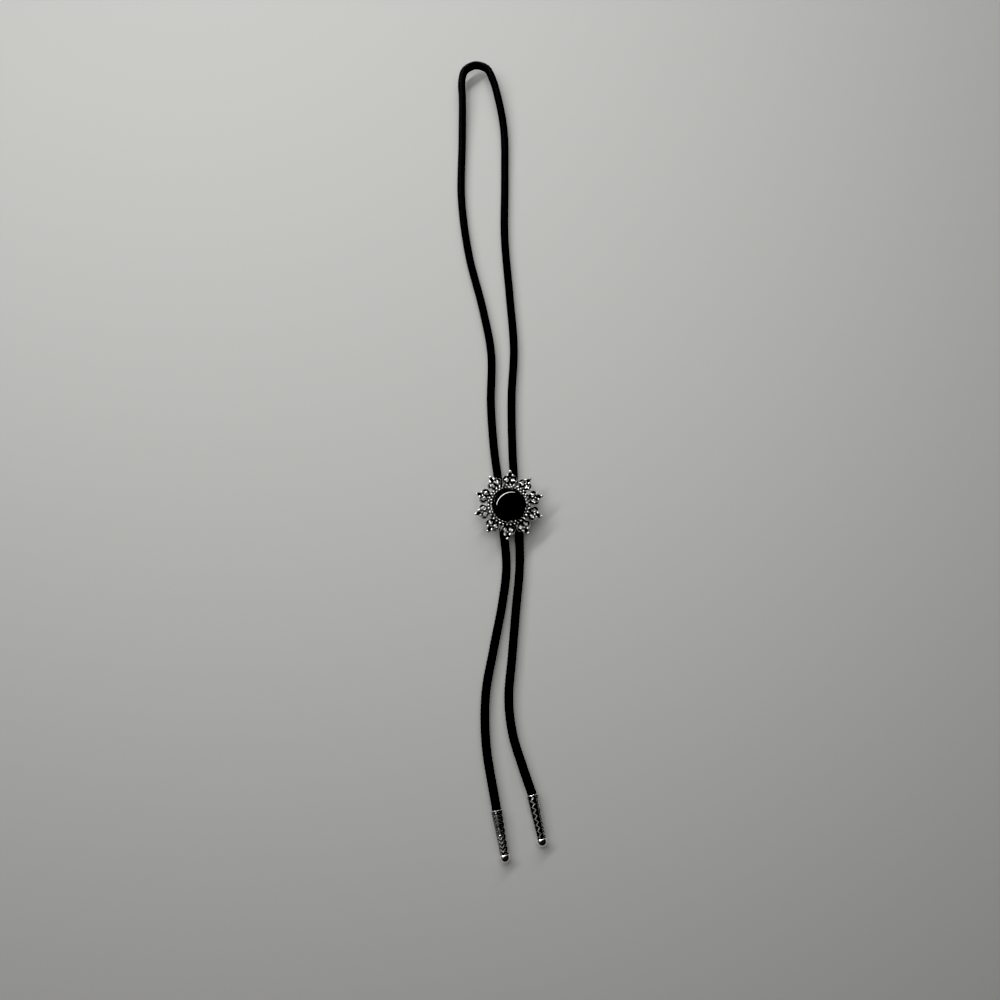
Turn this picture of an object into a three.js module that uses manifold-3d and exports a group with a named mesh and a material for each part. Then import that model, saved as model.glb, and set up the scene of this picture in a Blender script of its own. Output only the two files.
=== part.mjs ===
// Bolo tie: one braided cord with a metal tip on each end, held by a round filigree slide
// with a domed black stone. It lies on a flat surface with its loop spread out.
// Millimetres. +Z is up from the surface, +Y runs along the slide's clip towards the loop,
// and the origin is on the surface under the middle of the slide.

import * as THREE from "three";
import { mergeVertices } from "three/addons/utils/BufferGeometryUtils.js";
import Module from "manifold-3d";

const wasm = await Module();
wasm.setup();

// Cord
const cordDiameter = 4.5;
const cordSides = 8;
const cordStepsBetweenPoints = 2;
const cordFloorGap = 0.05;
const cordEndLift = 0.3;

// Clip under the slide: two tubes for the cord's strands under one plate
const clipLength = 24;
const clipPlateWidth = 16.4;
const clipPlateThickness = 0.9;
const channelSpacing = 8.6;
const channelClearance = 0.3;
const channelWall = 0.8;
const clipFloor = 0.6;
const clipCornerRadius = 0.5;
const clipArcSegments = 12;
const settingGap = 0.3;

// Stone
const stoneDiameter = 17.5;
const stoneGirdle = 1.3;
const stoneDome = 3.9;
const stoneChamfer = 0.4;
const stoneClearance = 0.3;
const stoneSides = 32;
const stoneDomeRings = 6;

// Setting: cup, two rows of granules and the plate that carries the petals
const cupFloorThickness = 0.8;
const bezelWall = 0.4;
const bezelHeight = 2.0;
const innerRowBeadRadius = 0.6;
const outerRowBeadRadius = 0.7;
const rowGap = 0.08;
const innerRowCount = 34;
const outerRowCount = 34;
const innerLedgeHeight = 1.75;
const outerLedgeHeight = 1.3;
const ledgeRim = 0.12;
const ringSides = 40;
const beadSides = 6;
const beadRings = 4;

// Petals
const slideDiameter = 38.5;
const petalCount = 10;
const petalGap = 0.5;
const petalTurnDegrees = 8;
const petalThickness = 1.0;
const tipBeadRadius = 0.85;
const shoulderBeadRadius = 0.78;
const axisBeadRadius = 0.5;
const eyeBeadRadius = 0.52;
const archWireRadius = 0.36;
const scrollWireRadius = 0.3;
const scrollOuterRadius = 1.12;
const scrollInnerRadius = 1.0;
const scrollTurnDegrees = 290;
const scrollStartDegrees = -95;
const wireSides = 4;
const wireLift = 0.1;
const archSteps = 5;
const scrollSteps = 6;
const dropHoleRadius = 0.42;
const lobeHoleRadius = 0.36;
const holeSides = 6;
const holeReach = 2;

// Tips
const tipMouthDiameter = 5.7;
const tipNeckDiameter = 4.2;
const tipLength = 22.8;
const tipBallDiameter = 4.8;
const tipRimWidth = 0.7;
const tipBandWidth = 0.5;
const tipReliefDepth = 0.15;
const tipSides = 12;
const tipBallRings = 6;
const tipCordGap = 0.3;

const weldDistance = 1e-4;
const fullTurn = 2 * Math.PI;

const blackCord = new THREE.MeshStandardMaterial({ color: 0x0b0b0b, roughness: 0.85, metalness: 0 });
const antiqueSilver = new THREE.MeshStandardMaterial({ color: 0x9a9895, roughness: 0.35, metalness: 1 });
const plainSteel = new THREE.MeshStandardMaterial({ color: 0x8f9193, roughness: 0.4, metalness: 1 });
const blackStone = new THREE.MeshStandardMaterial({ color: 0x030303, roughness: 0.05, metalness: 0 });

// Heights and radii that follow from the sizes above
const channelRadius = cordDiameter / 2 + channelClearance;
const channelHeight = clipFloor + channelRadius;
const strandOffset = channelSpacing / 2;
const clipHalfLength = clipLength / 2;
const clipTop = channelHeight + channelRadius + clipPlateThickness;
const settingBase = clipTop + settingGap;
const cupFloor = settingBase + cupFloorThickness;
const petalTop = settingBase + petalThickness;
const wireHeight = petalTop + wireLift;
const cupRadius = stoneDiameter / 2 + stoneClearance;
const bezelOuter = cupRadius + bezelWall;
const innerRowRadius = bezelOuter + innerRowBeadRadius / 2;
const outerRowRadius = innerRowRadius + innerRowBeadRadius + rowGap + outerRowBeadRadius;
const rowStep = innerRowRadius + innerRowBeadRadius + rowGap / 2;
const ringOuter = outerRowRadius + outerRowBeadRadius + ledgeRim;
const innerLedge = settingBase + innerLedgeHeight;
const outerLedge = settingBase + outerLedgeHeight;
const petalTip = slideDiameter / 2 - tipBeadRadius;
const petalLength = petalTip - ringOuter;

// Where things sit in a petal: along is a share of the petal's length, counted outwards from
// the ring, and across is a share of the arch wire's reach to the side.
const archLine = [
  { along: -0.08, across: 0.42 },
  { along: 0.07, across: 0.75 },
  { along: 0.33, across: 1.0 },
  { along: 0.57, across: 0.8 },
  { along: 0.66, across: 0.42 },
];
const widest = archLine[2];
const shoulderPlace = { along: 0.66, across: 0.35 };
const axisPlace = { along: 0.47, across: 0 };
const eyePlace = { along: 0.27, across: 0.49 };
const dropHolePlace = { along: 0.05, across: 0 };
const lobeHolePlace = { along: 0.5, across: 0.56 };
const plateTipPlace = { along: 1.0, across: 0.1 };
const plateRootPlace = { along: -0.2, across: 0.42 };

const widestRadius = ringOuter + widest.along * petalLength;
const petalHalfWidth = widestRadius * Math.sin(Math.PI / petalCount) - petalGap / 2;
const archReach = petalHalfWidth - archWireRadius;

// Cord route from the left tip, round the loop, to the right tip: x, y and height of its middle.
// It lies on the surface, passes through both channels of the clip, and the stiff bight of
// the loop lifts a little.
const lying = cordDiameter / 2 + cordFloorGap;
const routePoints = [
  [-22.0, -155.2, lying + cordEndLift],
  [-24.3, -123.0, lying],
  [-22.0, -98.0, lying],
  [-16.0, -76.5, lying],
  [-8.6, -51.5, lying],
  [-4.7, -33.0, lying],
  [-strandOffset, -clipHalfLength, channelHeight],
  [-strandOffset, 0, channelHeight],
  [-strandOffset, clipHalfLength, channelHeight],
  [-5.0, 34.0, lying],
  [-4.2, 61.0, lying],
  [-1.1, 92.0, lying],
  [-3.4, 121.0, lying],
  [-8.4, 157.0, lying],
  [-9.5, 195.0, lying],
  [-5.7, 234.0, 3.0],
  [-2.8, 264.5, 5.1],
  [-2.1, 276.3, 5.8],
  [0.7, 283.9, 6.0],
  [7.5, 287.1, 6.0],
  [14.3, 283.9, 6.0],
  [17.3, 276.3, 5.8],
  [19.7, 261.5, 4.9],
  [21.0, 240.0, 3.4],
  [18.1, 205.0, lying],
  [14.2, 167.0, lying],
  [13.3, 128.0, lying],
  [12.3, 93.5, lying],
  [8.2, 65.5, lying],
  [5.5, 36.0, lying],
  [strandOffset, clipHalfLength, channelHeight],
  [strandOffset, 0, channelHeight],
  [strandOffset, -clipHalfLength, channelHeight],
  [2.4, -34.0, lying],
  [-1.9, -56.5, lying],
  [-6.3, -80.0, lying],
  [-10.4, -102.5, lying],
  [-10.1, -120.0, lying],
  [-6.5, -137.0, lying],
  [-3.3, -149.7, lying + cordEndLift],
].map(([x, y, z]) => new THREE.Vector3(x, y, z));

// How far each tip turns on the surface from the -Y direction, towards +X
const leftTipTurnDegrees = 5.3;
const rightTipTurnDegrees = 6.7;

// A smooth curve whose even steps fall on its points, so tight bends get shorter steps.
class PointPacedCurve extends THREE.CatmullRomCurve3 {
  getUtoTmapping(u) {
    return u;
  }
}

// Joins a geometry's shared vertices and drops triangles that collapse to a line.
function weld(geometry) {
  const bare = geometry.clone();
  bare.deleteAttribute("normal");
  bare.deleteAttribute("uv");
  const merged = mergeVertices(bare, weldDistance);
  const corners = merged.index.array;
  const kept = [];
  for (let i = 0; i < corners.length; i += 3) {
    const [a, b, c] = [corners[i], corners[i + 1], corners[i + 2]];
    if (a !== b && b !== c && c !== a) {
      kept.push(a, b, c);
    }
  }
  merged.setIndex(kept);
  return merged;
}

function toSolid(geometry) {
  const welded = weld(geometry);
  return new wasm.Manifold(new wasm.Mesh({
    numProp: 3,
    vertProperties: welded.attributes.position.array,
    triVerts: Uint32Array.from(welded.index.array),
  }));
}

function toGeometry(solid) {
  const mesh = solid.getMesh();
  const geometry = new THREE.BufferGeometry();
  geometry.setAttribute("position", new THREE.BufferAttribute(Float32Array.from(mesh.vertProperties), 3));
  geometry.setIndex(Array.from(mesh.triVerts));
  return geometry;
}

function fuse(geometries) {
  return geometries.map(toSolid).reduce((joined, solid) => joined.add(solid));
}

// A polygon with flat ends swept along a curve: a wire, or the cord.
function sweep(curve, radius, sides, steps) {
  const section = new THREE.Shape();
  for (let i = 0; i < sides; i += 1) {
    const angle = (i * fullTurn) / sides;
    const [x, y] = [radius * Math.cos(angle), radius * Math.sin(angle)];
    if (i === 0) {
      section.moveTo(x, y);
    } else {
      section.lineTo(x, y);
    }
  }
  return new THREE.ExtrudeGeometry(section, { steps, extrudePath: curve, bevelEnabled: false });
}

function bead(x, y, z, radius) {
  const sphere = new THREE.SphereGeometry(radius, beadSides, beadRings);
  sphere.rotateX(Math.PI / 2);
  sphere.translate(x, y, z);
  return sphere;
}

// Turns a lathe profile of [radius, height] pairs about the Z axis.
function turned(profile, sides) {
  const points = profile.map(([radius, height]) => new THREE.Vector2(radius, height));
  const geometry = new THREE.LatheGeometry(points, sides);
  geometry.rotateX(Math.PI / 2);
  return geometry;
}

// A place in a petal that points along +Y, on its right side or mirrored to its left
function petalPoint(place, side, height) {
  const across = side * place.across * archReach;
  const along = ringOuter + place.along * petalLength;
  return new THREE.Vector3(across, along, height);
}

function archCurve(side, height) {
  return new THREE.CatmullRomCurve3(archLine.map((place) => petalPoint(place, side, height)));
}

function scrollCurve(side, height) {
  const eye = petalPoint(eyePlace, side, height);
  const points = [];
  for (let i = 0; i <= scrollSteps; i += 1) {
    const share = i / scrollSteps;
    const angle = THREE.MathUtils.degToRad(scrollStartDegrees - share * scrollTurnDegrees);
    const radius = THREE.MathUtils.lerp(scrollOuterRadius, scrollInnerRadius, share);
    points.push(new THREE.Vector3(
      eye.x + side * radius * Math.cos(angle),
      eye.y + radius * Math.sin(angle),
      height,
    ));
  }
  return new THREE.CatmullRomCurve3(points);
}

// The flat plate behind a petal's wires, as wide as the middle of its arch wires
function petalPlate() {
  const right = [petalPoint(plateRootPlace, 1, 0), ...archCurve(1, 0).getPoints(archSteps)];
  right.push(petalPoint(plateTipPlace, 1, 0));
  const left = right.map((point) => new THREE.Vector3(-point.x, point.y, 0)).reverse();
  const outline = [...right, ...left].map((point) => new THREE.Vector2(point.x, point.y));
  const shape = new THREE.Shape(outline);
  const plate = new THREE.ExtrudeGeometry(shape, { depth: petalThickness, bevelEnabled: false });
  plate.translate(0, 0, settingBase);
  return plate;
}

function petalHole(place, side, radius) {
  const depth = petalThickness + 2 * holeReach;
  const hole = new THREE.CylinderGeometry(radius, radius, depth, holeSides);
  const middle = petalPoint(place, side, settingBase + petalThickness / 2);
  hole.rotateX(Math.PI / 2);
  hole.translate(middle.x, middle.y, middle.z);
  return hole;
}

// One petal, pointing along +Y: plate, two arches, two scrolls with eyes, and its granules
function petalGeometry() {
  const sides = [1, -1];
  const tip = petalPoint({ along: 1, across: 0 }, 1, petalTop);
  const axisBead = petalPoint(axisPlace, 1, petalTop);
  const pieces = [
    petalPlate(),
    bead(tip.x, tip.y, settingBase + tipBeadRadius, tipBeadRadius),
    bead(axisBead.x, axisBead.y, axisBead.z, axisBeadRadius),
  ];
  for (const side of sides) {
    const shoulder = petalPoint(shoulderPlace, side, petalTop);
    const eye = petalPoint(eyePlace, side, petalTop);
    pieces.push(sweep(archCurve(side, wireHeight), archWireRadius, wireSides, archSteps));
    pieces.push(sweep(scrollCurve(side, wireHeight), scrollWireRadius, wireSides, scrollSteps));
    pieces.push(bead(shoulder.x, shoulder.y, shoulder.z, shoulderBeadRadius));
    pieces.push(bead(eye.x, eye.y, eye.z, eyeBeadRadius));
  }
  let petal = fuse(pieces);
  petal = petal.subtract(toSolid(petalHole(dropHolePlace, 1, dropHoleRadius)));
  for (const side of sides) {
    petal = petal.subtract(toSolid(petalHole(lobeHolePlace, side, lobeHoleRadius)));
  }
  return toGeometry(petal);
}

// The cup for the stone and the two stepped ledges of the granule rows
function ringGeometry() {
  return turned([
    [0, settingBase],
    [ringOuter, settingBase],
    [ringOuter, outerLedge],
    [rowStep, outerLedge],
    [rowStep, innerLedge],
    [bezelOuter, innerLedge],
    [bezelOuter, cupFloor + bezelHeight],
    [cupRadius, cupFloor + bezelHeight],
    [cupRadius, cupFloor],
    [0, cupFloor],
  ], ringSides);
}

function beadRow(count, rowRadius, height, radius) {
  const beads = [];
  for (let i = 0; i < count; i += 1) {
    const angle = (i * fullTurn) / count;
    beads.push(bead(rowRadius * Math.sin(angle), rowRadius * Math.cos(angle), height, radius));
  }
  return beads;
}

function settingGeometry() {
  const pieces = [
    ringGeometry(),
    ...beadRow(innerRowCount, innerRowRadius, innerLedge, innerRowBeadRadius),
    ...beadRow(outerRowCount, outerRowRadius, outerLedge, outerRowBeadRadius),
  ];
  const petal = petalGeometry();
  for (let i = 0; i < petalCount; i += 1) {
    const turn = THREE.MathUtils.degToRad(petalTurnDegrees) + (i * fullTurn) / petalCount;
    pieces.push(petal.clone().rotateZ(-turn));
  }
  return toGeometry(fuse(pieces));
}

// A black cabochon: flat back with a small chamfer, upright girdle and a domed top
function stoneGeometry() {
  const radius = stoneDiameter / 2;
  const base = cupFloor + stoneClearance;
  const girdleTop = base + stoneGirdle;
  const profile = [[0, base], [radius - stoneChamfer, base], [radius, base + stoneChamfer]];
  for (let i = 0; i <= stoneDomeRings; i += 1) {
    const angle = (i / stoneDomeRings) * (Math.PI / 2);
    profile.push([radius * Math.cos(angle), girdleTop + stoneDome * Math.sin(angle)]);
  }
  profile[profile.length - 1][0] = 0;
  return turned(profile, stoneSides);
}

// Section of the clip across the strands: a plate with two tubes below it, flat underneath
function clipGeometry() {
  const tubeOuter = channelRadius + channelWall;
  const flatAngle = Math.asin(channelHeight / tubeOuter);
  const plateHalf = clipPlateWidth / 2;
  const plateUnder = channelHeight + channelRadius;
  const slotHalf = strandOffset - tubeOuter;
  const outline = new THREE.Shape();
  outline.moveTo(-plateHalf, plateUnder);
  outline.lineTo(-strandOffset - tubeOuter, plateUnder);
  outline.lineTo(-strandOffset - tubeOuter, channelHeight);
  outline.absarc(-strandOffset, channelHeight, tubeOuter, Math.PI, Math.PI + flatAngle, false);
  outline.absarc(-strandOffset, channelHeight, tubeOuter, fullTurn - flatAngle, fullTurn, false);
  outline.lineTo(-slotHalf, plateUnder);
  outline.lineTo(slotHalf, plateUnder);
  outline.lineTo(slotHalf, channelHeight);
  outline.absarc(strandOffset, channelHeight, tubeOuter, Math.PI, Math.PI + flatAngle, false);
  outline.absarc(strandOffset, channelHeight, tubeOuter, fullTurn - flatAngle, fullTurn, false);
  outline.lineTo(strandOffset + tubeOuter, plateUnder);
  outline.lineTo(plateHalf, plateUnder);
  outline.lineTo(plateHalf, clipTop - clipCornerRadius);
  outline.lineTo(plateHalf - clipCornerRadius, clipTop);
  outline.lineTo(-plateHalf + clipCornerRadius, clipTop);
  outline.lineTo(-plateHalf, clipTop - clipCornerRadius);
  for (const side of [-1, 1]) {
    const channel = new THREE.Path();
    channel.absarc(side * strandOffset, channelHeight, channelRadius, 0, fullTurn, true);
    outline.holes.push(channel);
  }
  const clip = new THREE.ExtrudeGeometry(outline, {
    depth: clipLength,
    bevelEnabled: false,
    curveSegments: clipArcSegments,
  });
  clip.rotateX(Math.PI / 2);
  clip.translate(0, clipHalfLength, 0);
  return clip;
}

// A tapered cap about the Z axis: rim at the cord's end, raised bands, neck and a round ball.
// Shares run from the mouth to the ball's middle.
const tipBands = [
  { from: 0.26 },
  { from: 0.52 },
  { from: 0.78 },
];

function tipGeometry() {
  const mouth = tipMouthDiameter / 2;
  const neck = tipNeckDiameter / 2;
  const ball = tipBallDiameter / 2;
  const neckAt = tipLength - Math.sqrt(ball * ball - neck * neck);
  const bodyRadius = (at) => THREE.MathUtils.lerp(mouth, neck, at / neckAt) - tipReliefDepth;
  const profile = [[0, 0], [mouth, 0], [mouth, tipRimWidth], [bodyRadius(tipRimWidth), tipRimWidth]];
  for (const band of tipBands) {
    const start = band.from * tipLength;
    const end = start + tipBandWidth;
    profile.push([bodyRadius(start), start]);
    profile.push([bodyRadius(start) + tipReliefDepth, start]);
    profile.push([bodyRadius(end) + tipReliefDepth, end]);
    profile.push([bodyRadius(end), end]);
  }
  profile.push([bodyRadius(neckAt), neckAt]);
  const firstAngle = Math.acos(neck / ball);
  for (let i = 0; i <= tipBallRings; i += 1) {
    const angle = THREE.MathUtils.lerp(-firstAngle, Math.PI / 2, i / tipBallRings);
    profile.push([ball * Math.cos(angle), tipLength + ball * Math.sin(angle)]);
  }
  profile[profile.length - 1][0] = 0;
  return turned(profile, tipSides);
}

// Lays a tip on the surface, its mouth a small gap beyond the cord's end.
function layTip(mesh, cordEnd, turnDegrees) {
  const turn = THREE.MathUtils.degToRad(turnDegrees);
  const drop = (tipMouthDiameter - tipBallDiameter) / 2;
  const level = Math.sqrt(tipLength * tipLength - drop * drop);
  const axis = new THREE.Vector3(
    (Math.sin(turn) * level) / tipLength,
    (-Math.cos(turn) * level) / tipLength,
    -drop / tipLength,
  );
  const side = new THREE.Vector3(Math.cos(turn), Math.sin(turn), 0);
  const up = new THREE.Vector3().crossVectors(axis, side);
  const basis = new THREE.Matrix4().makeBasis(side, up, axis);
  mesh.quaternion.setFromRotationMatrix(basis);
  mesh.position.set(cordEnd.x, cordEnd.y, tipMouthDiameter / 2);
  mesh.position.addScaledVector(new THREE.Vector3(axis.x, axis.y, 0), tipCordGap);
}

function named(name, geometry, material) {
  const mesh = new THREE.Mesh(geometry, material);
  mesh.name = name;
  return mesh;
}

const route = new PointPacedCurve(routePoints);
const cordSteps = cordStepsBetweenPoints * (routePoints.length - 1);

const boloTie = new THREE.Group();
boloTie.add(named("filigree_setting", settingGeometry(), antiqueSilver));
boloTie.add(named("stone", stoneGeometry(), blackStone));
boloTie.add(named("bolo_clip", clipGeometry(), plainSteel));
boloTie.add(named("cord", sweep(route, cordDiameter / 2, cordSides, cordSteps), blackCord));

const leftTip = named("tip_left", tipGeometry(), antiqueSilver);
const rightTip = named("tip_right", tipGeometry(), antiqueSilver);
layTip(leftTip, routePoints[0], leftTipTurnDegrees);
layTip(rightTip, routePoints[routePoints.length - 1], rightTipTurnDegrees);
boloTie.add(leftTip);
boloTie.add(rightTip);

export default boloTie;
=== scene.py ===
# Looks of a bolo tie: a black braided cord with a silver tip on each end, held by a round
# filigree slide with a domed black stone. It lies on a pale surface with its loop spread out.
# Shapes are worked out in millimetres, in the frame's own axes, and scaled to metres where
# each object is made.

import math

import bpy
import numpy as np
from mathutils import Matrix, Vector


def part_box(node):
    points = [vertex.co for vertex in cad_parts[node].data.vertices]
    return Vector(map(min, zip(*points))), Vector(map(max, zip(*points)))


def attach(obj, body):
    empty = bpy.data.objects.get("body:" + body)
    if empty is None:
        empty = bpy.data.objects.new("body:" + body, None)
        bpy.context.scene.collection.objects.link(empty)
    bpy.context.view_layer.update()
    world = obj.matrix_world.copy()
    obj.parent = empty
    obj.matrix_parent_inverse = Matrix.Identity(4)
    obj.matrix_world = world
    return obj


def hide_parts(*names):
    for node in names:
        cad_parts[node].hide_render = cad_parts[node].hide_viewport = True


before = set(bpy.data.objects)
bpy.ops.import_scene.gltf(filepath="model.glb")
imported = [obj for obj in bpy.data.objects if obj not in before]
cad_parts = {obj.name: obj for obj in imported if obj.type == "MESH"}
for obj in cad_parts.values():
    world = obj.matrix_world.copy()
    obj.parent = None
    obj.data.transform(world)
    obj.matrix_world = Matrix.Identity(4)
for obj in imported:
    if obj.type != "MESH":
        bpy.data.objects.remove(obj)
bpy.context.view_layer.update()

MM = 0.001
FULL_TURN = 2 * math.pi
RELIEF_NAME = "relief"
BRAID_MAP = "braid"


def box_mm(node):
    """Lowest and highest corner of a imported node, in millimetres."""
    low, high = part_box(node)
    return np.array(low) / MM, np.array(high) / MM


SETTING_LOW, SETTING_HIGH = box_mm("filigree_setting")
STONE_LOW, STONE_HIGH = box_mm("stone")
CLIP_LOW, CLIP_HIGH = box_mm("bolo_clip")

# Camera
CAMERA_HEIGHT = 408
CAMERA_TILT_DEGREES = 13
CAMERA_TURN_DEGREES = -5.6
CAMERA_SIDEWAYS = -13.63
CAMERA_BACK = -88.74
CAMERA_SENSOR = 36
CAMERA_LENS = 27
CAMERA_NEAR = 10
CAMERA_FAR = 20000

# Cord
CORD_DIAMETER = 4.5
CORD_FLOOR_GAP = 0.05
CORD_END_LIFT = 0.3
CORD_CURVE_STEPS = 60
CORD_RING_SPACING = 0.385
CORD_SIDES = 36
CORD_STRANDS_EACH_WAY = 6
CORD_PITCH = 13.2
CORD_GROOVE_DEPTH = 0.34
CORD_CROWN_RISE = 0.1
CORD_STRAND_DIVE = 0.35
CORD_DIVE_POWER = 4
CORD_END_TAPER = 0.14
CORD_END_TAPER_LENGTH = 3.0

# Clip
CLIP_CHANNEL_SPACING = 8.6
CLIP_CHANNEL_CLEARANCE = 0.3
CLIP_CHANNEL_WALL = 0.8
CLIP_FLOOR = 0.6
CLIP_ARC_STEPS = 40
CLIP_PLATE_THICKNESS = 0.9
CLIP_EDGE_ROUND = 0.15
CLIP_EDGE_SEGMENTS = 3
CLIP_EDGE_DEGREES = 50

# Stone
STONE_GIRDLE = 1.3
STONE_CHAMFER = 0.4
STONE_SIDES = 160
STONE_DOME_RINGS = 48

# Cup, bezel and the two rows of granules
CUP_FLOOR_THICKNESS = 0.8
CUP_CLEARANCE = 0.3
BEZEL_WALL = 0.4
BEZEL_LEAN = 0.17
# Points of the bezel's upper edge: how far in from its outer and inner wall, as a share of its
# lean, and how far below its top, as a share of its thickness
BEZEL_OUTER_EDGE = ((0.5, 0.75), (0.9, 0.25), (1.5, 0))
BEZEL_INNER_EDGE = ((0.6, 0.1), (1, 0.4), (0, 1.4))
RING_SIDES = 180
ROW_GAP = 0.08
LEDGE_RIM = 0.12
LEDGE_ROUND = 0.12
INNER_ROW = {"count": 34, "radius": 0.6, "ledge": 1.75, "shift": 0.5}
OUTER_ROW = {"count": 34, "radius": 0.7, "ledge": 1.3, "shift": 0}
ROW_BEAD_SIDES = 20
ROW_BEAD_RINGS = 12

# Relief tells how bright the oxide is rubbed off: 0 not at all, 1 to satin, 2 to a polish
BEZEL_RELIEF = 0.24
ARCH_RELIEF = 0.42
SCROLL_RELIEF = 1.0
GRANULE_RELIEF = 2.0
UNDERSIDE_RELIEF = 0.5
# Heights above the recess between which relief rises from 0 to its full value
WIRE_RISE = (0.1, 0.4)
GRANULE_RISE = (0.1, 0.45)
FREE_BEAD_RISE = (-0.15, 0.25)
GRANULE_MARGIN = 0.03
FREE_BEAD_MARGIN = 0.15

# Petals
SLIDE_DIAMETER = 39.2
PETAL_COUNT = 10
PETAL_GAP = 0.2
PETAL_TURN_DEGREES = 8
PETAL_THICKNESS = 1.0
PETAL_EDGE_ROUND = 0.14
# How far in and down the rounded edge's middle lies, as a share of its rounding
EDGE_SOFTNESS = 0.3
PETAL_TIP_BEAD_RADIUS = 0.88
SHOULDER_BEAD_RADIUS = 0.86
AXIS_BEAD_RADIUS = 0.5
EYE_BEAD_RADIUS = 0.48
ARCH_WIRE_RADIUS = 0.28
SCROLL_WIRE_RADIUS = 0.28
NECK_WIRE_RADIUS = 0.2
SCROLL_OUTER_RADIUS = 0.98
SCROLL_INNER_RADIUS = 0.84
SCROLL_TURN_DEGREES = 290
SCROLL_START_DEGREES = -95
WIRE_LIFT = 0.1
WIRE_SIDES = 14
ARCH_STEPS = 9
SCROLL_STEPS = 34
PETAL_BEAD_SIDES = 24
PETAL_BEAD_RINGS = 14
DROP_HOLE_RADIUS = 0.42
LOBE_HOLE_RADIUS = 0.36
HOLE_SIDES = 20
HOLE_REACH = 2

# Tips
TIP_MOUTH_DIAMETER = 5.7
TIP_NECK_DIAMETER = 4.2
TIP_LENGTH = 22.8
TIP_BALL_DIAMETER = 5.3
TIP_RIM_WIDTH = 0.7
TIP_RELIEF = 0.15
TIP_WALL = 0.25
TIP_RECESS = 1.8
TIP_CORD_GAP = 0.3
TIP_SIDES = 120
TIP_RIM_ROUND = 0.12
TIP_RING_SPACING = 0.08
TIP_BALL_RINGS = 30
# Embossing: columns round the tip, stems and ladders in turn, with strings of dots between them
TIP_COLUMNS = 4
TIP_GROUND = 0.35
TIP_LADDER_GROUND = 0.31
TIP_LINE = 0.4
TIP_LINE_FLAT_SHARE = 0.4
TIP_FIELD_EDGE = (0.72, 0.8)
TIP_START_RISE = (0.2, 0.5)
TIP_END_RISE = (0.1, 0.4)
TIP_STEM_WIDTH = 0.56
TIP_CUT = 0.7
TIP_CUT_SHARES = (0.08, 0.35)
TIP_BARB_PITCH = 1.8
TIP_BARB_SLOPE = -0.8
TIP_BARB_HEIGHT = 0.62
TIP_CHEVRON_PITCH = 2.0
TIP_CHEVRON_SLOPE = 1.0
TIP_BOSS_SHARE = 0.54
TIP_BOSS_RADIUS = 0.72
TIP_BOSS_RELIEF = 1.6
TIP_ZIGZAG_PITCH = 1.45
TIP_ZIGZAG_REACH = 0.48
TIP_ZIGZAG_LINE = 0.48
TIP_DOT_PITCH = 1.1
TIP_DOT_RADIUS = 0.42
TIP_LADDER_DOT_HEIGHT = 0.3
# Relief at the mouth's rim, inside the mouth and under the rim, and on the ball
TIP_RIM_TOP_RELIEF = 1.5
TIP_RIM_SIDE_RELIEF = 1
TIP_INSIDE_RELIEF = 0.3
TIP_BALL_RELIEF = 2
# How far each tip turns on the floor, in degrees, and about its own axis, in columns
LEFT_TIP = {"turn": 5.3, "roll": -0.62}
RIGHT_TIP = {"turn": 6.7, "roll": 0.36}

# Edges sharper than these angles, in degrees, stay creases
CORD_CREASE = 180
SETTING_CREASE = 38
STONE_CREASE = 50
CLIP_CREASE = 40
TIP_CREASE = 60

# Floor
FLOOR_HALF = 2500
FLOOR_COLOUR = (0.60, 0.598, 0.58)
FLOOR_FIBRE_SHADE = 0.97

# Lights, with their places and sizes in metres
WINDOW_ENDS = ((-0.91, 0.226, 0.6), (0.86, 1.60, 0.6))
WINDOW_WIDTH = 0.06
WINDOW_RADIANCE = 22.5
GLINT_RADIANCE = 35.5
GLINT_NEARER = 0.01
FILL_PLACE = (0.0, 0.12, 0.48)
FILL_SIZE = 0.6
FILL_RADIANCE = 1.15
GLOW_DISTANCE = 1.3
GLOW_SIZE = (2.6, 1.2)
GLOW_RADIANCE = 0.4
ROOM_COLOUR = (1.0, 0.995, 0.985)
ROOM_RADIANCE = 0.025

# Light below this level comes out black
BLACK_LEVEL = 0.02

# Materials. A noise has its number of cells in a metre and its detail, and a bump its depth in
# millimetres and its strength. A range is for the low and the high end of what drives it.
NOISE_SPREAD = (0.3, 0.7)
SLIDE_SILVER = {"light": (0.86, 0.85, 0.83), "satin": 0.26, "polished": 0.22}
TIP_SILVER = {"light": (0.90, 0.89, 0.87), "satin": 0.34, "polished": 0.14}
SLIDE_WEAR = {"grain": (1400, 3), "range": (-0.16, 0.16)}
TIP_WEAR = {"grain": (3000, 3), "range": (-0.1, 0.1)}
OXIDE_COLOUR = (0.012, 0.012, 0.013)
OXIDE_ROUGHNESS = 0.5
RUBBED_RELIEF = (0.3, 0.62)
POLISHED_RELIEF = (1, 2)
SILVER_GRAIN = (5200, 4)
SILVER_BUMP = (0.02, 0.25)

ONYX_IOR = 1.54
ONYX_SPECULAR = 0.25
ONYX_COLOURS = ((0.0012, 0.0012, 0.0014), (0.0035, 0.0034, 0.0034))
ONYX_ROUGHNESS = (0.02, 0.05)
ONYX_CLOUD = (260, 4)
ONYX_WAVES = (420, 2)
ONYX_BUMP = (0.006, 0.1)

BRAID_SPECULAR = 0.08
# The braid's colour runs from its dark end, painted shade in the grooves between strands, to its
# light end on the strands' crowns, and a grain varies it
BRAID_COLOURS = ((0.002, 0.002, 0.002), (0.015, 0.015, 0.016))
BRAID_ROUGHNESS = (0.9, 0.62)
BRAID_GRAIN = (2600, 3)
BRAID_GRAIN_TONE = (-0.25, 0.15)
BRAID_BUMP = (0.16, 0.5)
YARNS_IN_STRAND = 3
YARN_DEPTH = 0.22

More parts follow.
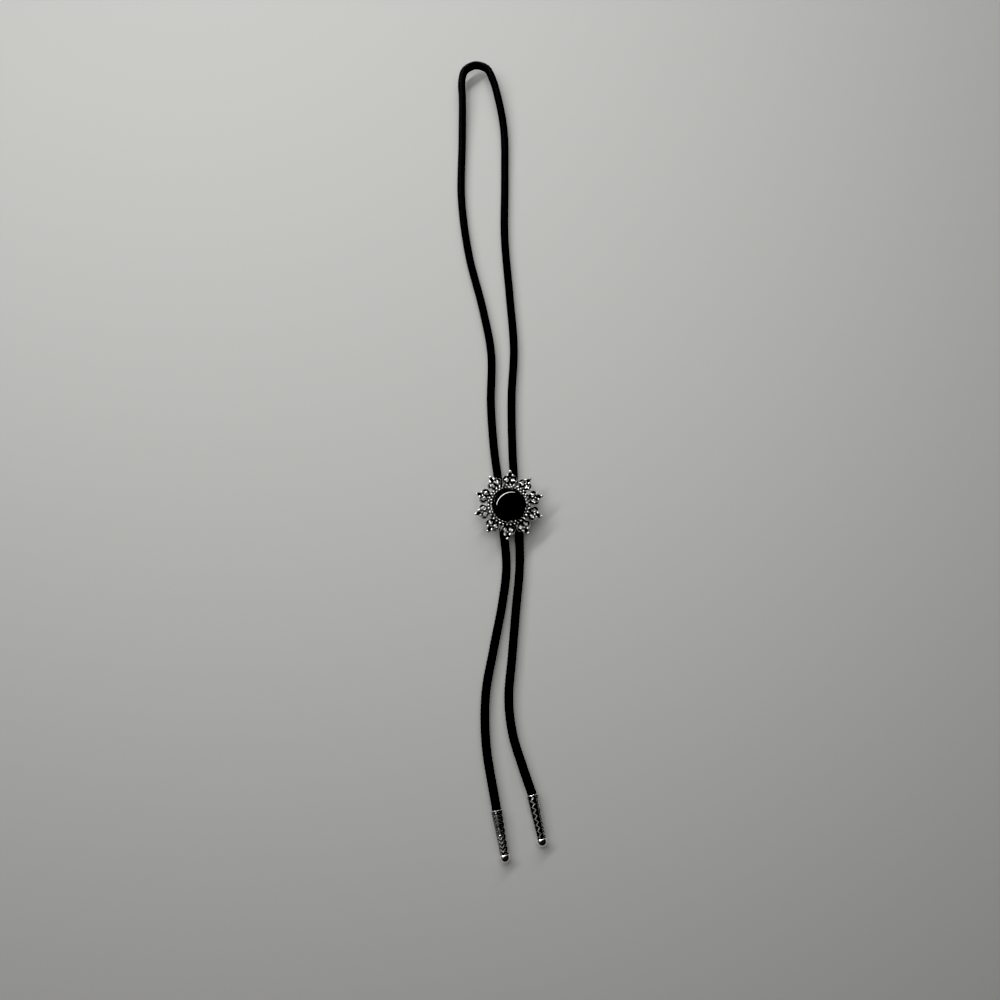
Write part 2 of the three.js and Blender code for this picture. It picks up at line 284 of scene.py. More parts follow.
CLIP_COLOURS = ((0.40, 0.41, 0.42), (0.62, 0.63, 0.64))
CLIP_ROUGHNESS = (0.26, 0.42)
CLIP_LINES = (3800, 3)
CLIP_LINES_STRETCH = (1, 0.04, 1)
CLIP_BUMP = (0.01, 0.3)

FLOOR_SPECULAR = 0.2
FLOOR_ROUGHNESS = 0.85
FLOOR_FIBRE = (900, 6)

# Heights and radii that follow from the sizes above
SETTING_BASE = SETTING_LOW[2]
BEZEL_TOP = SETTING_HIGH[2]
CUP_FLOOR = SETTING_BASE + CUP_FLOOR_THICKNESS
PETAL_TOP = SETTING_BASE + PETAL_THICKNESS
UNDERSIDE_TOP = SETTING_BASE + PETAL_THICKNESS / 4
WIRE_HEIGHT = PETAL_TOP + WIRE_LIFT
STONE_RADIUS = (STONE_HIGH[0] - STONE_LOW[0]) / 2
CUP_RADIUS = STONE_RADIUS + CUP_CLEARANCE
BEZEL_OUTER = CUP_RADIUS + BEZEL_WALL
INNER_ROW_RADIUS = BEZEL_OUTER + INNER_ROW["radius"] / 2
OUTER_ROW_RADIUS = INNER_ROW_RADIUS + INNER_ROW["radius"] + ROW_GAP + OUTER_ROW["radius"]
ROW_STEP = INNER_ROW_RADIUS + INNER_ROW["radius"] + ROW_GAP / 2
RING_OUTER = OUTER_ROW_RADIUS + OUTER_ROW["radius"] + LEDGE_RIM
INNER_LEDGE = SETTING_BASE + INNER_ROW["ledge"]
OUTER_LEDGE = SETTING_BASE + OUTER_ROW["ledge"]
PETAL_TIP = SLIDE_DIAMETER / 2 - PETAL_TIP_BEAD_RADIUS
PETAL_LENGTH = PETAL_TIP - RING_OUTER

# Where things sit in a petal: a share of its length, counted outwards from the ring, and a
# share of the arch wire's reach to the side
ARCH_LINE = ((-0.08, 0.42), (0.07, 0.75), (0.33, 1.0), (0.57, 0.8), (0.66, 0.42))
WIDEST_SHARE = ARCH_LINE[2][0]
SHOULDER_PLACE = (0.66, 0.35)
AXIS_PLACE = (0.47, 0.0)
EYE_PLACE = (0.27, 0.455)
DROP_HOLE_PLACE = (0.05, 0.0)
LOBE_HOLE_PLACE = (0.5, 0.56)
PLATE_TIP_PLACE = (1.0, 0.1)
PLATE_ROOT_PLACE = (-0.2, 0.42)
NECK_LINE = ((0.6, 0.3), (0.5, 0.2), (0.4, 0.19), (0.3, 0.2))
PETAL_HALF_WIDTH = (
    (RING_OUTER + WIDEST_SHARE * PETAL_LENGTH) * math.sin(math.pi / PETAL_COUNT) - PETAL_GAP / 2
)
ARCH_REACH = PETAL_HALF_WIDTH - ARCH_WIRE_RADIUS

# Cord route from the left tip, round the loop, to the right tip: x, y and height of its middle
CORD_RADIUS = CORD_DIAMETER / 2
CHANNEL_RADIUS = CORD_RADIUS + CLIP_CHANNEL_CLEARANCE
CHANNEL_HEIGHT = CLIP_FLOOR + CHANNEL_RADIUS
STRAND_OFFSET = CLIP_CHANNEL_SPACING / 2
CLIP_HALF_LENGTH = CLIP_HIGH[1]
LYING = CORD_RADIUS + CORD_FLOOR_GAP
ROUTE = np.array([
    (-22.0, -155.2, LYING + CORD_END_LIFT),
    (-24.3, -123.0, LYING),
    (-22.0, -98.0, LYING),
    (-16.0, -76.5, LYING),
    (-8.6, -51.5, LYING),
    (-4.7, -33.0, LYING),
    (-STRAND_OFFSET, -CLIP_HALF_LENGTH, CHANNEL_HEIGHT),
    (-STRAND_OFFSET, 0, CHANNEL_HEIGHT),
    (-STRAND_OFFSET, CLIP_HALF_LENGTH, CHANNEL_HEIGHT),
    (-5.0, 34.0, LYING),
    (-4.2, 61.0, LYING),
    (-1.1, 92.0, LYING),
    (-3.4, 121.0, LYING),
    (-8.4, 157.0, LYING),
    (-9.5, 195.0, LYING),
    (-5.7, 234.0, 3.0),
    (-2.8, 264.5, 5.1),
    (-2.1, 276.3, 5.8),
    (0.7, 283.9, 6.0),
    (7.5, 287.1, 6.0),
    (14.3, 283.9, 6.0),
    (17.3, 276.3, 5.8),
    (19.7, 261.5, 4.9),
    (21.0, 240.0, 3.4),
    (18.1, 205.0, LYING),
    (14.2, 167.0, LYING),
    (13.3, 128.0, LYING),
    (12.3, 93.5, LYING),
    (8.2, 65.5, LYING),
    (5.5, 36.0, LYING),
    (STRAND_OFFSET, CLIP_HALF_LENGTH, CHANNEL_HEIGHT),
    (STRAND_OFFSET, 0, CHANNEL_HEIGHT),
    (STRAND_OFFSET, -CLIP_HALF_LENGTH, CHANNEL_HEIGHT),
    (2.4, -34.0, LYING),
    (-1.9, -56.5, LYING),
    (-6.3, -80.0, LYING),
    (-10.4, -102.5, LYING),
    (-10.1, -120.0, LYING),
    (-6.5, -137.0, LYING),
    (-3.3, -149.7, LYING + CORD_END_LIFT),
])


def add_camera():
    """The photograph's camera: above the near end of the slide, tilted a little towards the loop."""
    data = bpy.data.cameras.new("camera")
    data.sensor_width = CAMERA_SENSOR
    data.lens = CAMERA_LENS
    data.clip_start = CAMERA_NEAR * MM
    data.clip_end = CAMERA_FAR * MM
    camera = bpy.data.objects.new("camera", data)
    camera.location = (CAMERA_SIDEWAYS * MM, CAMERA_BACK * MM, CAMERA_HEIGHT * MM)
    camera.rotation_euler = (math.radians(CAMERA_TILT_DEGREES), 0, math.radians(CAMERA_TURN_DEGREES))
    bpy.context.scene.collection.objects.link(camera)
    bpy.context.scene.camera = camera


# A shape is a pair: an array of points in millimetres and a list of faces

def joined(shapes):
    """Several shapes as one, with nothing fused."""
    points = []
    faces = []
    count = 0
    for shape_points, shape_faces in shapes:
        points.append(shape_points)
        faces.extend([[corner + count for corner in face] for face in shape_faces])
        count += len(shape_points)
    return np.vstack(points), faces


def moved(shape, offset):
    return shape[0] + np.array(offset), shape[1]


def turned_point(points, angle):
    """A point or an array of points turned clockwise about Z, as seen from above."""
    cos, sin = math.cos(angle), math.sin(angle)
    turn = np.array([[cos, sin, 0], [-sin, cos, 0], [0, 0, 1]])
    return points @ turn.T


def turned_about_z(shape, angle):
    return turned_point(shape[0], angle), shape[1]


def skin(rings, start, end):
    """A closed skin over rings of points, with each of its two ends drawn to one point."""
    count, sides = rings.shape[:2]
    points = np.vstack([rings.reshape(-1, 3), start, end])
    rows = np.arange(count - 1)[:, None] * sides
    here = np.arange(sides)[None, :]
    after = (here + 1) % sides
    quads = np.stack([rows + here, rows + after, rows + sides + after, rows + sides + here], axis=-1)
    faces = quads.reshape(-1, 4).tolist()
    first = count * sides
    last = first + 1
    top = (count - 1) * sides
    for side in range(sides):
        other = (side + 1) % sides
        faces.append([first, other, side])
        faces.append([last, top + side, top + other])
    return points, faces


def lathe(profile, sides):
    """A solid of revolution about Z. The profile runs from axis to axis, outside on its right."""
    profile = np.array(profile, float)
    angles = np.arange(sides) * FULL_TURN / sides
    radius = profile[1:-1, 0][:, None]
    height = np.repeat(profile[1:-1, 1][:, None], sides, axis=1)
    rings = np.stack([radius * np.cos(angles), radius * np.sin(angles), height], axis=-1)
    return skin(rings, (0, 0, profile[0, 1]), (0, 0, profile[-1, 1]))


def ball(centre, radius, sides, rings):
    angles = np.linspace(-math.pi / 2, math.pi / 2, rings + 1)
    profile = np.stack([radius * np.cos(angles), radius * np.sin(angles)], axis=1)
    return moved(lathe(profile, sides), centre)


def directions_of(path):
    steps = np.gradient(path, axis=0)
    return steps / np.linalg.norm(steps, axis=1)[:, None]


def frames_along(path, first_side):
    """Two directions across the path at each point, carried along it without twist."""
    along = directions_of(path)
    side = np.zeros_like(path)
    last = np.array(first_side, float)
    for i, direction in enumerate(along):
        last = last - direction * np.dot(last, direction)
        last = last / np.linalg.norm(last)
        side[i] = last
    return side, np.cross(along, side)


def tube(path, radii, sides):
    """A closed tube along a path. radii is one number, or one for each point round each ring."""
    side, up = frames_along(path, (0, 0, 1))
    angles = np.arange(sides) * FULL_TURN / sides
    radii = np.broadcast_to(radii, (len(path), sides))[:, :, None]
    across = np.cos(angles)[None, :, None] * side[:, None, :]
    across = across + np.sin(angles)[None, :, None] * up[:, None, :]
    return skin(path[:, None, :] + radii * across, path[0], path[-1])


def smooth_line(points, steps):
    """A centripetal Catmull-Rom curve through the points, with as many steps between two of them."""
    points = np.array(points, float)
    ends = (2 * points[0] - points[1], 2 * points[-1] - points[-2])
    padded = np.vstack([ends[0], points, ends[1]])
    share = np.arange(steps)[:, None] / steps
    line = []
    for before, start, end, after in zip(padded, padded[1:], padded[2:], padded[3:]):
        gap_before = math.sqrt(np.linalg.norm(start - before))
        gap = math.sqrt(np.linalg.norm(end - start))
        gap_after = math.sqrt(np.linalg.norm(after - end))
        straight = (end - start) / gap
        leave = (start - before) / gap_before - (end - before) / (gap_before + gap) + straight
        arrive = straight - (after - start) / (gap + gap_after) + (after - end) / gap_after
        leave = leave * gap
        arrive = arrive * gap
        line.append(
            (2 * share**3 - 3 * share**2 + 1) * start
            + (share**3 - 2 * share**2 + share) * leave
            + (3 * share**2 - 2 * share**3) * end
            + (share**3 - share**2) * arrive
        )
    line.append(points[-1:])
    return np.vstack(line)


def evenly_spaced(line, spacing):
    """The same line with its points an even distance apart."""
    lengths = np.linalg.norm(np.diff(line, axis=0), axis=1)
    distance = np.concatenate([[0], np.cumsum(lengths)])
    places = np.linspace(0, distance[-1], round(distance[-1] / spacing) + 1)
    return np.stack([np.interp(places, distance, line[:, axis]) for axis in range(3)], axis=1)


def length_of(line):
    return float(np.linalg.norm(np.diff(line, axis=0), axis=1).sum())


def make_mesh(name, shape):
    """A mesh in metres from a shape in millimetres."""
    mesh = bpy.data.meshes.new(name)
    mesh.from_pydata((shape[0] * MM).tolist(), [], shape[1])
    mesh.update()
    return mesh


def make_object(name, mesh):
    piece = bpy.data.objects.new(name, mesh)
    bpy.context.scene.collection.objects.link(piece)
    return piece


def fused(base, joined_on=(), cut=()):
    """One closed shape: the base with shapes joined on to it, and then with shapes cut away."""
    solid = make_object("solid", make_mesh("solid", (base[0] / MM, base[1])))
    tools = []
    for operation, shapes in (("UNION", joined_on), ("DIFFERENCE", cut)):
        for points, faces in shapes:
            tool = make_object("tool", make_mesh("tool", (points / MM, faces)))
            step = solid.modifiers.new("step", "BOOLEAN")
            step.operation = operation
            step.solver = "MANIFOLD"
            step.object = tool
            tools.append(tool)
    graph = bpy.context.evaluated_depsgraph_get()
    mesh = bpy.data.meshes.new_from_object(solid.evaluated_get(graph))
    points = np.empty(len(mesh.vertices) * 3)
    mesh.vertices.foreach_get("co", points)
    faces = [list(polygon.vertices) for polygon in mesh.polygons]
    for item in [solid, *tools]:
        used = item.data
        bpy.data.objects.remove(item)
        bpy.data.meshes.remove(used)
    bpy.data.meshes.remove(mesh)
    return points.reshape(-1, 3), faces


def finished(name, shape, material, crease_degrees, relief=None):
    """The final object, smooth but for its creases, with its material and each point's relief."""
    mesh = make_mesh(name, shape)
    mesh.shade_smooth()
    mesh.set_sharp_from_angle(angle=math.radians(crease_degrees))
    if relief is not None:
        attribute = mesh.attributes.new(RELIEF_NAME, "FLOAT", "POINT")
        attribute.data.foreach_set("value", np.asarray(relief, np.float32))
    mesh.materials.append(material)
    return make_object(name, mesh)


def ease(low, high, values):
    """0 below low, 1 above high, and a smooth rise between."""
    share = np.clip((values - low) / (high - low), 0, 1)
    return share * share * (3 - 2 * share)


# Materials

def new_material(name, **constants):
    """A material and its shader, with the constant values set on the shader's own sockets."""
    material = bpy.data.materials.new(name)
    material.use_nodes = True
    shader = material.node_tree.nodes["Principled BSDF"]
    for socket, value in constants.items():
        shader.inputs[socket.replace("_", " ")].default_value = value
    return material, shader


def noise(tree, grain, stretch=(1, 1, 1)):
    """Grey noise fixed to the object. grain is its number of cells in a metre and its detail."""
    coordinates = tree.nodes.new("ShaderNodeTexCoord")
    mapping = tree.nodes.new("ShaderNodeMapping")
    texture = tree.nodes.new("ShaderNodeTexNoise")
    mapping.inputs["Scale"].default_value = stretch
    texture.inputs["Scale"].default_value, texture.inputs["Detail"].default_value = grain
    tree.links.new(coordinates.outputs["Object"], mapping.inputs["Vector"])
    tree.links.new(mapping.outputs["Vector"], texture.inputs["Vector"])
    return texture.outputs["Fac"]


def map_range(tree, value, source, target):
    node = tree.nodes.new("ShaderNodeMapRange")
    for socket, number in zip(("From Min", "From Max", "To Min", "To Max"), (*source, *target)):
        node.inputs[socket].default_value = number
    tree.links.new(value, node.inputs["Value"])
    return node.outputs["Result"]


def calc(tree, operation, *values):
    """One arithmetic step on node outputs or plain numbers."""
    node = tree.nodes.new("ShaderNodeMath")
    node.operation = operation
    for socket, value in zip(node.inputs, values):
        if isinstance(value, (int, float)):
            socket.default_value = value
        else:
            tree.links.new(value, socket)
    return node.outputs["Value"]


def blended_colour(tree, factor, dark, light):
    node = tree.nodes.new("ShaderNodeMix")
    node.data_type = "RGBA"
    tree.links.new(factor, node.inputs["Factor"])
    node.inputs["A"].default_value = (*dark, 1)
    node.inputs["B"].default_value = (*light, 1)
    return node.outputs["Result"]


def add_bump(tree, shader, height, bump):
    depth, strength = bump
    node = tree.nodes.new("ShaderNodeBump")
    node.inputs["Strength"].default_value = strength
    node.inputs["Distance"].default_value = depth * MM
    tree.links.new(height, node.inputs["Height"])
    tree.links.new(node.outputs["Normal"], shader.inputs["Normal"])


def relief_value(tree):
    node = tree.nodes.new("ShaderNodeAttribute")
    node.attribute_name = RELIEF_NAME
    return node.outputs["Fac"]


def antiqued_silver(name, silver, wear):
    """Silver that is black with oxide in its recesses and rubbed bright on what stands proud."""
    material, shader = new_material(name, Metallic=1.0)
    tree = material.node_tree
    satin = silver["satin"]
    relief = relief_value(tree)
    patches = map_range(tree, noise(tree, wear["grain"]), NOISE_SPREAD, wear["range"])
    rubbed = map_range(tree, calc(tree, "ADD", relief, patches), RUBBED_RELIEF, (0, 1))
    colour = blended_colour(tree, rubbed, OXIDE_COLOUR, silver["light"])
    tree.links.new(colour, shader.inputs["Base Color"])
    worn = map_range(tree, rubbed, (0, 1), (OXIDE_ROUGHNESS, satin))
    polish = map_range(tree, relief, POLISHED_RELIEF, (0, satin - silver["polished"]))
    tree.links.new(calc(tree, "SUBTRACT", worn, polish), shader.inputs["Roughness"])
    add_bump(tree, shader, noise(tree, SILVER_GRAIN), SILVER_BUMP)
    return material


def black_onyx():
    """Polished black stone with a faint cloud and barely uneven surface."""
    material, shader = new_material("black_onyx", IOR=ONYX_IOR, Specular_IOR_Level=ONYX_SPECULAR)
    tree = material.node_tree
    cloud = noise(tree, ONYX_CLOUD)
    tree.links.new(blended_colour(tree, cloud, *ONYX_COLOURS), shader.inputs["Base Color"])
    roughness = map_range(tree, cloud, NOISE_SPREAD, ONYX_ROUGHNESS)
    tree.links.new(roughness, shader.inputs["Roughness"])
    add_bump(tree, shader, noise(tree, ONYX_WAVES), ONYX_BUMP)
    return material


def braid_in_shader(tree):
    """The plait's height, as braid_height gives it, with the yarns that lie along each strand."""
    place = tree.nodes.new("ShaderNodeUVMap")
    place.uv_map = BRAID_MAP
    split = tree.nodes.new("ShaderNodeSeparateXYZ")
    tree.links.new(place.outputs["UV"], split.inputs["Vector"])
    around = split.outputs["X"]
    turns = split.outputs["Y"]
    right_way = calc(tree, "MULTIPLY", calc(tree, "SUBTRACT", around, turns), CORD_STRANDS_EACH_WAY)
    left_way = calc(tree, "MULTIPLY", calc(tree, "ADD", around, turns), CORD_STRANDS_EACH_WAY)
    cell = calc(tree, "ADD", calc(tree, "FLOOR", right_way), calc(tree, "FLOOR", left_way))
    left_on_top = calc(tree, "FLOORED_MODULO", cell, 2)
    right_share = calc(tree, "MULTIPLY_ADD", calc(tree, "FRACT", right_way), 2, -1)
    left_share = calc(tree, "MULTIPLY_ADD", calc(tree, "FRACT", left_way), 2, -1)
    difference = calc(tree, "SUBTRACT", left_share, right_share)
    across = calc(tree, "MULTIPLY_ADD", left_on_top, difference, right_share)
    lengthwise = calc(tree, "SUBTRACT", calc(tree, "ADD", left_share, right_share), across)
    crown = calc(tree, "SQRT", calc(tree, "SUBTRACT", 1, calc(tree, "MULTIPLY", across, across)))
    nearing_end = calc(tree, "POWER", lengthwise, CORD_DIVE_POWER)
    dive = calc(tree, "MULTIPLY_ADD", nearing_end, -CORD_STRAND_DIVE, 1)
    phase = calc(tree, "MULTIPLY", across, YARNS_IN_STRAND * math.pi / 2)
    yarns = calc(tree, "ABSOLUTE", calc(tree, "SINE", phase))
    strand = calc(tree, "MULTIPLY", crown, dive)
    thread = calc(tree, "MULTIPLY_ADD", yarns, YARN_DEPTH, 1 - YARN_DEPTH)
    return calc(tree, "MULTIPLY", strand, thread)


def braided_black():
    """Matte black braid, with painted shade darker between its strands, and a faint grain."""
    material, shader = new_material("braided_black", Specular_IOR_Level=BRAID_SPECULAR)
    tree = material.node_tree
    braid = braid_in_shader(tree)
    grain = map_range(tree, noise(tree, BRAID_GRAIN), NOISE_SPREAD, BRAID_GRAIN_TONE)
    groove_shade_and_grain = calc(tree, "ADD", braid, grain)
    # Painted shade: the colour darkens where the plait is low, between its strands, and the grain
    # varies it
    tree.links.new(blended_colour(tree, groove_shade_and_grain, *BRAID_COLOURS), shader.inputs["Base Color"])
    tree.links.new(map_range(tree, groove_shade_and_grain, (0, 1), BRAID_ROUGHNESS), shader.inputs["Roughness"])
    add_bump(tree, shader, braid, BRAID_BUMP)
    return material


def clip_metal():
    """Plain plated steel with fine drawing lines along the clip."""
    material, shader = new_material("clip_metal_finish", Metallic=1.0)
    tree = material.node_tree
    lines = noise(tree, CLIP_LINES, CLIP_LINES_STRETCH)
    tree.links.new(blended_colour(tree, lines, *CLIP_COLOURS), shader.inputs["Base Color"])
    roughness = map_range(tree, lines, NOISE_SPREAD, CLIP_ROUGHNESS)
    tree.links.new(roughness, shader.inputs["Roughness"])
    add_bump(tree, shader, lines, CLIP_BUMP)
    return material


def pale_paper():
    """Matte pale paper with a faint fibre."""
    material, shader = new_material(
        "pale_surface", Specular_IOR_Level=FLOOR_SPECULAR, Roughness=FLOOR_ROUGHNESS
    )
    tree = material.node_tree
    dark = tuple(channel * FLOOR_FIBRE_SHADE for channel in FLOOR_COLOUR)
    colour = blended_colour(tree, noise(tree, FLOOR_FIBRE), dark, FLOOR_COLOUR)
    tree.links.new(colour, shader.inputs["Base Color"])
    return material


# Cord

def braid_height(around, along):
    """The plait's height, from 0 in its grooves to 1 on a strand's crown.

    around is a share of the way round the cord, and along a distance. Strands run both ways
    round, and in each diamond the one on top swells across and dives at its two ends.
    """
    turns = along / CORD_PITCH
    right_way = (around - turns) * CORD_STRANDS_EACH_WAY
    left_way = (around + turns) * CORD_STRANDS_EACH_WAY
    right_on_top = (np.floor(right_way) + np.floor(left_way)) % 2 == 0
    right_share = 2 * (right_way % 1) - 1
    left_share = 2 * (left_way % 1) - 1
    across = np.where(right_on_top, right_share, left_share)
    lengthwise = np.where(right_on_top, left_share, right_share)
    return np.sqrt(1 - across**2) * (1 - CORD_STRAND_DIVE * lengthwise**CORD_DIVE_POWER)


def tip_axes(cord_end, turn_degrees):
    """Where a tip's mouth is, and its directions sideways, up and towards its ball."""
    turn = math.radians(turn_degrees)
    drop = (TIP_MOUTH_DIAMETER - TIP_BALL_DIAMETER) / 2
    level = math.sqrt(TIP_LENGTH**2 - drop**2)
    axis = np.array([math.sin(turn) * level, -math.cos(turn) * level, -drop]) / TIP_LENGTH
    side = np.array([math.cos(turn), math.sin(turn), 0])
    mouth = np.array([cord_end[0], cord_end[1], TIP_MOUTH_DIAMETER / 2])
    mouth[:2] += axis[:2] * TIP_CORD_GAP
    return mouth, side, np.cross(axis, side), axis


def cord_line():
    """The route's curve, kept just above the floor, with each end drawn into its tip."""
    line = smooth_line(ROUTE, CORD_CURVE_STEPS)
    line[:, 2] = np.maximum(line[:, 2], CORD_RADIUS + CORD_CROWN_RISE)
    inside = []
    for end, tip in ((ROUTE[0], LEFT_TIP), (ROUTE[-1], RIGHT_TIP)):
        mouth, _, _, axis = tip_axes(end, tip["turn"])
        inside.append(mouth + axis * (TIP_RECESS - TIP_CORD_GAP))
    return evenly_spaced(np.vstack([inside[0], line, inside[1]]), CORD_RING_SPACING)


def add_braid_map(mesh, turns, rings):
    """Each face corner's share of the way round the cord, and its number of turns along it."""
    side = np.arange(CORD_SIDES)[None, :, None]
    row = np.arange(rings - 1)[:, None, None]
    around = (side + np.array([0, 1, 1, 0])) / CORD_SIDES + 0 * row
    along = (row + np.array([0, 0, 1, 1])) * turns / (rings - 1) + 0 * side
    quads = np.stack([around, along], axis=-1).reshape(-1, 2)
    places = np.zeros((len(mesh.loops), 2), np.float32)
    places[:len(quads)] = quads
    mesh.uv_layers.new(name=BRAID_MAP).uv.foreach_set("vector", places.ravel())


def make_cord(material):
    """The braided cord, with its middle line and its length."""
    line = cord_line()
    length = length_of(line)
    along = np.linspace(0, length, len(line))[:, None]
    around = (np.arange(CORD_SIDES) / CORD_SIDES)[None, :]
    height = braid_height(around, along)
    from_end = np.minimum(along, length - along)
    squeeze = CORD_END_TAPER * (1 - ease(0, CORD_END_TAPER_LENGTH, from_end))
    radii = CORD_RADIUS + CORD_CROWN_RISE - squeeze - CORD_GROOVE_DEPTH * (1 - height)
    cord = finished("cord_braid", tube(line, radii, CORD_SIDES), material, CORD_CREASE)
    add_braid_map(cord.data, length / CORD_PITCH, len(line))
    return cord, line, length


# Slide

def petal_point(place, side, height):
    along, across = place
    return np.array([side * across * ARCH_REACH, RING_OUTER + along * PETAL_LENGTH, height])


def arch_line(side, height):
    return smooth_line([petal_point(place, side, height) for place in ARCH_LINE], ARCH_STEPS)


def scroll_line(side):
    eye = petal_point(EYE_PLACE, side, WIRE_HEIGHT)
    share = np.linspace(0, 1, SCROLL_STEPS + 1)
    angle = np.radians(SCROLL_START_DEGREES - share * SCROLL_TURN_DEGREES)
    radius = SCROLL_OUTER_RADIUS + share * (SCROLL_INNER_RADIUS - SCROLL_OUTER_RADIUS)
    return eye + np.stack([side * radius * np.cos(angle), radius * np.sin(angle), 0 * angle], axis=1)


def neck_line(side):
    return smooth_line([petal_point(place, side, PETAL_TOP) for place in NECK_LINE], ARCH_STEPS)


def upright(outline, low, high, edge_round):
    """A flat plate with the outline given anticlockwise and its upper edge rounded in one step."""
    outline = np.array(outline, float)[:, :2]
    centre = outline.mean(axis=0)
    ahead = np.roll(outline, -1, axis=0) - outline
    behind = outline - np.roll(outline, 1, axis=0)
    inward = np.stack([-(ahead + behind)[:, 1], (ahead + behind)[:, 0]], axis=1)
    inward = inward / np.linalg.norm(inward, axis=1)[:, None]
    soft = EDGE_SOFTNESS * edge_round
    levels = ((0, low), (0, high - edge_round), (soft, high - soft), (edge_round, high))
    rings = []
    for inset, height in levels:
        ring = outline + inward * inset
        rings.append(np.column_stack([ring, np.full(len(ring), height)]))
    return skin(np.array(rings), (*centre, low), (*centre, high))


def petal_plate():
    """The plate behind a petal's wires, as wide as the middle of its arch wires."""
    right = np.vstack([
        petal_point(PLATE_ROOT_PLACE, 1, 0),
        arch_line(1, 0),
        petal_point(PLATE_TIP_PLACE, 1, 0),
    ])
    left = right[::-1] * np.array([-1, 1, 1])
    return upright(np.vstack([right, left]), SETTING_BASE, PETAL_TOP, PETAL_EDGE_ROUND)


def petal_hole(place, side, radius):
    low = SETTING_BASE - HOLE_REACH
    high = PETAL_TOP + HOLE_REACH
    profile = [(0, low), (radius, low), (radius, high), (0, high)]
    x, y, _ = petal_point(place, side, 0)
    return moved(lathe(profile, HOLE_SIDES), (x, y, 0))


def petal_beads():
    """Centre and radius of each granule on the petal that points along +Y."""
    beads = [
        (petal_point((1, 0), 1, SETTING_BASE + PETAL_TIP_BEAD_RADIUS), PETAL_TIP_BEAD_RADIUS),
        (petal_point(AXIS_PLACE, 1, PETAL_TOP), AXIS_BEAD_RADIUS),
    ]
    for side in (1, -1):
        beads.append((petal_point(SHOULDER_PLACE, side, PETAL_TOP), SHOULDER_BEAD_RADIUS))
        beads.append((petal_point(EYE_PLACE, side, PETAL_TOP), EYE_BEAD_RADIUS))
    return beads


def petal():
    """The petal that points along +Y: plate, arches, scrolls with their eyes, necks and granules."""
    sides = (1, -1)
    holes = [petal_hole(DROP_HOLE_PLACE, 1, DROP_HOLE_RADIUS)]
    holes += [petal_hole(LOBE_HOLE_PLACE, side, LOBE_HOLE_RADIUS) for side in sides]
    plate = fused(petal_plate(), cut=holes)
    arch_lines = [arch_line(side, WIRE_HEIGHT) for side in sides]
    arches = joined([tube(line, ARCH_WIRE_RADIUS, WIRE_SIDES) for line in arch_lines])
    scrolls = joined([tube(scroll_line(side), SCROLL_WIRE_RADIUS, WIRE_SIDES) for side in sides])
    necks = joined([tube(neck_line(side), NECK_WIRE_RADIUS, WIRE_SIDES) for side in sides])
    granules = joined([ball(*bead, PETAL_BEAD_SIDES, PETAL_BEAD_RINGS) for bead in petal_beads()])
    return fused(plate, joined_on=[arches, scrolls, necks, granules])


def bezel_edge(wall, places):
    """Points of the bezel's upper edge on one of its two walls."""
    return [(wall - lean * BEZEL_LEAN, BEZEL_TOP - below * BEZEL_WALL) for lean, below in places]


def cup_and_ledges():
    """The cup that holds the stone, and the two steps round it that carry the granules."""
    edge = LEDGE_ROUND
    profile = [
        (0, SETTING_BASE),
        (RING_OUTER - edge, SETTING_BASE),
        (RING_OUTER, SETTING_BASE + edge),
        (RING_OUTER, OUTER_LEDGE - edge),
        (RING_OUTER - edge, OUTER_LEDGE),
        (ROW_STEP, OUTER_LEDGE),
        (ROW_STEP, INNER_LEDGE - edge),
        (ROW_STEP - edge, INNER_LEDGE),
        (BEZEL_OUTER, INNER_LEDGE),
        *bezel_edge(BEZEL_OUTER, BEZEL_OUTER_EDGE),
        *bezel_edge(CUP_RADIUS, BEZEL_INNER_EDGE),
        (CUP_RADIUS, CUP_FLOOR),
        (0, CUP_FLOOR),
    ]
    return lathe(profile, RING_SIDES)


def row_beads(row, row_radius, height):
    """Centre and radius of each granule in one of the two rows."""
    beads = []
    for i in range(row["count"]):
        angle = (i + row["shift"]) * FULL_TURN / row["count"]
        centre = np.array([row_radius * math.sin(angle), row_radius * math.cos(angle), height])
        beads.append((centre, row["radius"]))
    return beads


def petal_turns():
    """The angle of each petal, clockwise from +Y."""
    first = math.radians(PETAL_TURN_DEGREES)
    return [first + i * FULL_TURN / PETAL_COUNT for i in range(PETAL_COUNT)]


def on_a_granule(points, beads):
    """Which points lie on the surface of one of the granules."""
    found = np.zeros(len(points), bool)
    for centre, radius in beads:
        found |= np.abs(np.linalg.norm(points - centre, axis=1) - radius) < GRANULE_MARGIN
    return found


def in_a_scroll(points, eyes):
    """Which points belong to the scroll round one of the eyes."""
    found = np.zeros(len(points), bool)
    for eye in eyes:
        distance = np.linalg.norm(points[:, :2] - eye[:2], axis=1)
        found |= distance < SCROLL_OUTER_RADIUS + SCROLL_WIRE_RADIUS
    return found


def setting_relief(points, beads, eyes):
    """Each point's relief: low in the recesses, more on the scrolls, and most on the granules."""
    radius = np.hypot(points[:, 0], points[:, 1])
    recess = np.where(radius < RING_OUTER + GRANULE_MARGIN, OUTER_LEDGE, PETAL_TOP)
    recess = np.where(radius < ROW_STEP + GRANULE_MARGIN, INNER_LEDGE, recess)
    proud = points[:, 2] - recess
    granule = on_a_granule(points, beads)
    wire = np.where(in_a_scroll(points, eyes), SCROLL_RELIEF, ARCH_RELIEF) * ease(*WIRE_RISE, proud)
    relief = np.where(granule, GRANULE_RELIEF * ease(*GRANULE_RISE, proud), wire)
    relief = np.where(radius < BEZEL_OUTER + GRANULE_MARGIN, BEZEL_RELIEF, relief)
    free = granule & (radius > PETAL_TIP + FREE_BEAD_MARGIN)
    relief = np.where(free, GRANULE_RELIEF * ease(*FREE_BEAD_RISE, proud), relief)
    return np.where(points[:, 2] < UNDERSIDE_TOP, UNDERSIDE_RELIEF, relief)


